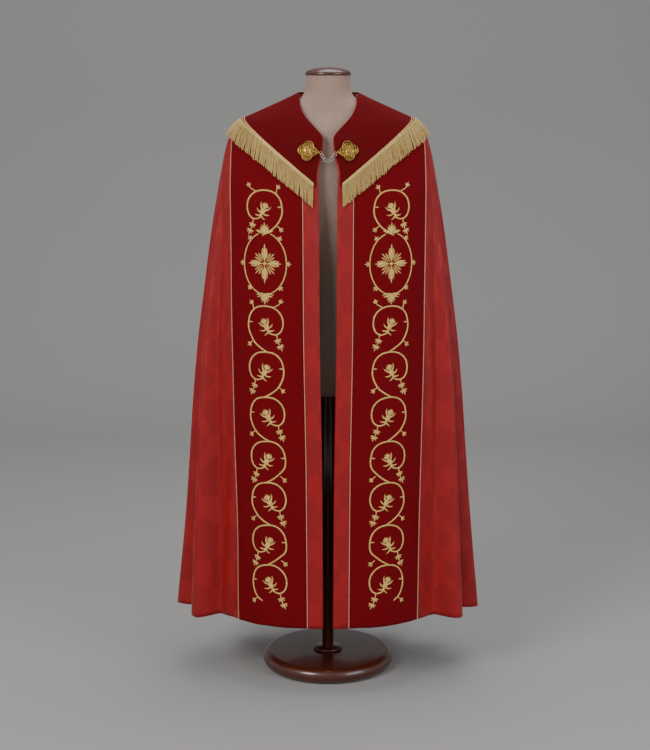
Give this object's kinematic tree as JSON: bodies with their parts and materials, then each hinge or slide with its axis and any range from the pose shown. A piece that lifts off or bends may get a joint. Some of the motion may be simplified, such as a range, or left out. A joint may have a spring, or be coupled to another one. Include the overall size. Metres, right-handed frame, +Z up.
{
  "type": "cope vestment on a limbless dress form",
  "caption": "Floor-length open-fronted cope with velvet orphreys, a fringed velvet hood and a metal clasp, worn by a limbless dress form that stands on a round wooden base.",
  "frame": {"origin": "centre of the underside of the dress form's base, on the floor", "axes": "+Z up the form's pole, -Y out of the open front of the cope, +X towards the right of someone looking at the front"},
  "size_m": [0.8793, 0.551, 1.734],
  "materials": {
    "damask": "satin damask with a low sheen",
    "velvet": "dark velvet pile",
    "cord": "pale pinkish gold cord",
    "gold_thread": "gold bullion thread",
    "gold_metal": "polished filigree",
    "steel": "polished links",
    "linen": "plain natural linen",
    "wood": "dark varnish"
  },
  "bodies": {
    "root": {"front_left": "damask", "front_right": "damask", "back": "damask", "orphrey_left": "velvet", "orphrey_right": "velvet", "cord_left_inner": "cord", "cord_left_outer": "cord", "cord_right_inner": "cord", "cord_right_outer": "cord", "hood_front_left": "velvet", "hood_front_right": "velvet", "hood_back": "velvet", "fringe": "gold_thread", "clasp_plate_left": "gold_metal", "clasp_plate_right": "gold_metal", "clasp_eye_left": "gold_metal", "clasp_eye_right": "gold_metal", "chain_link_1": "steel", "chain_link_2": "steel", "chain_link_3": "steel", "chain_link_4": "steel", "chain_link_5": "steel", "chain_link_6": "steel", "chain_link_7": "steel", "form_torso": "linen", "form_pole": "wood", "form_base": "wood", "form_cap": "wood"}
  },
  "joints": []
}
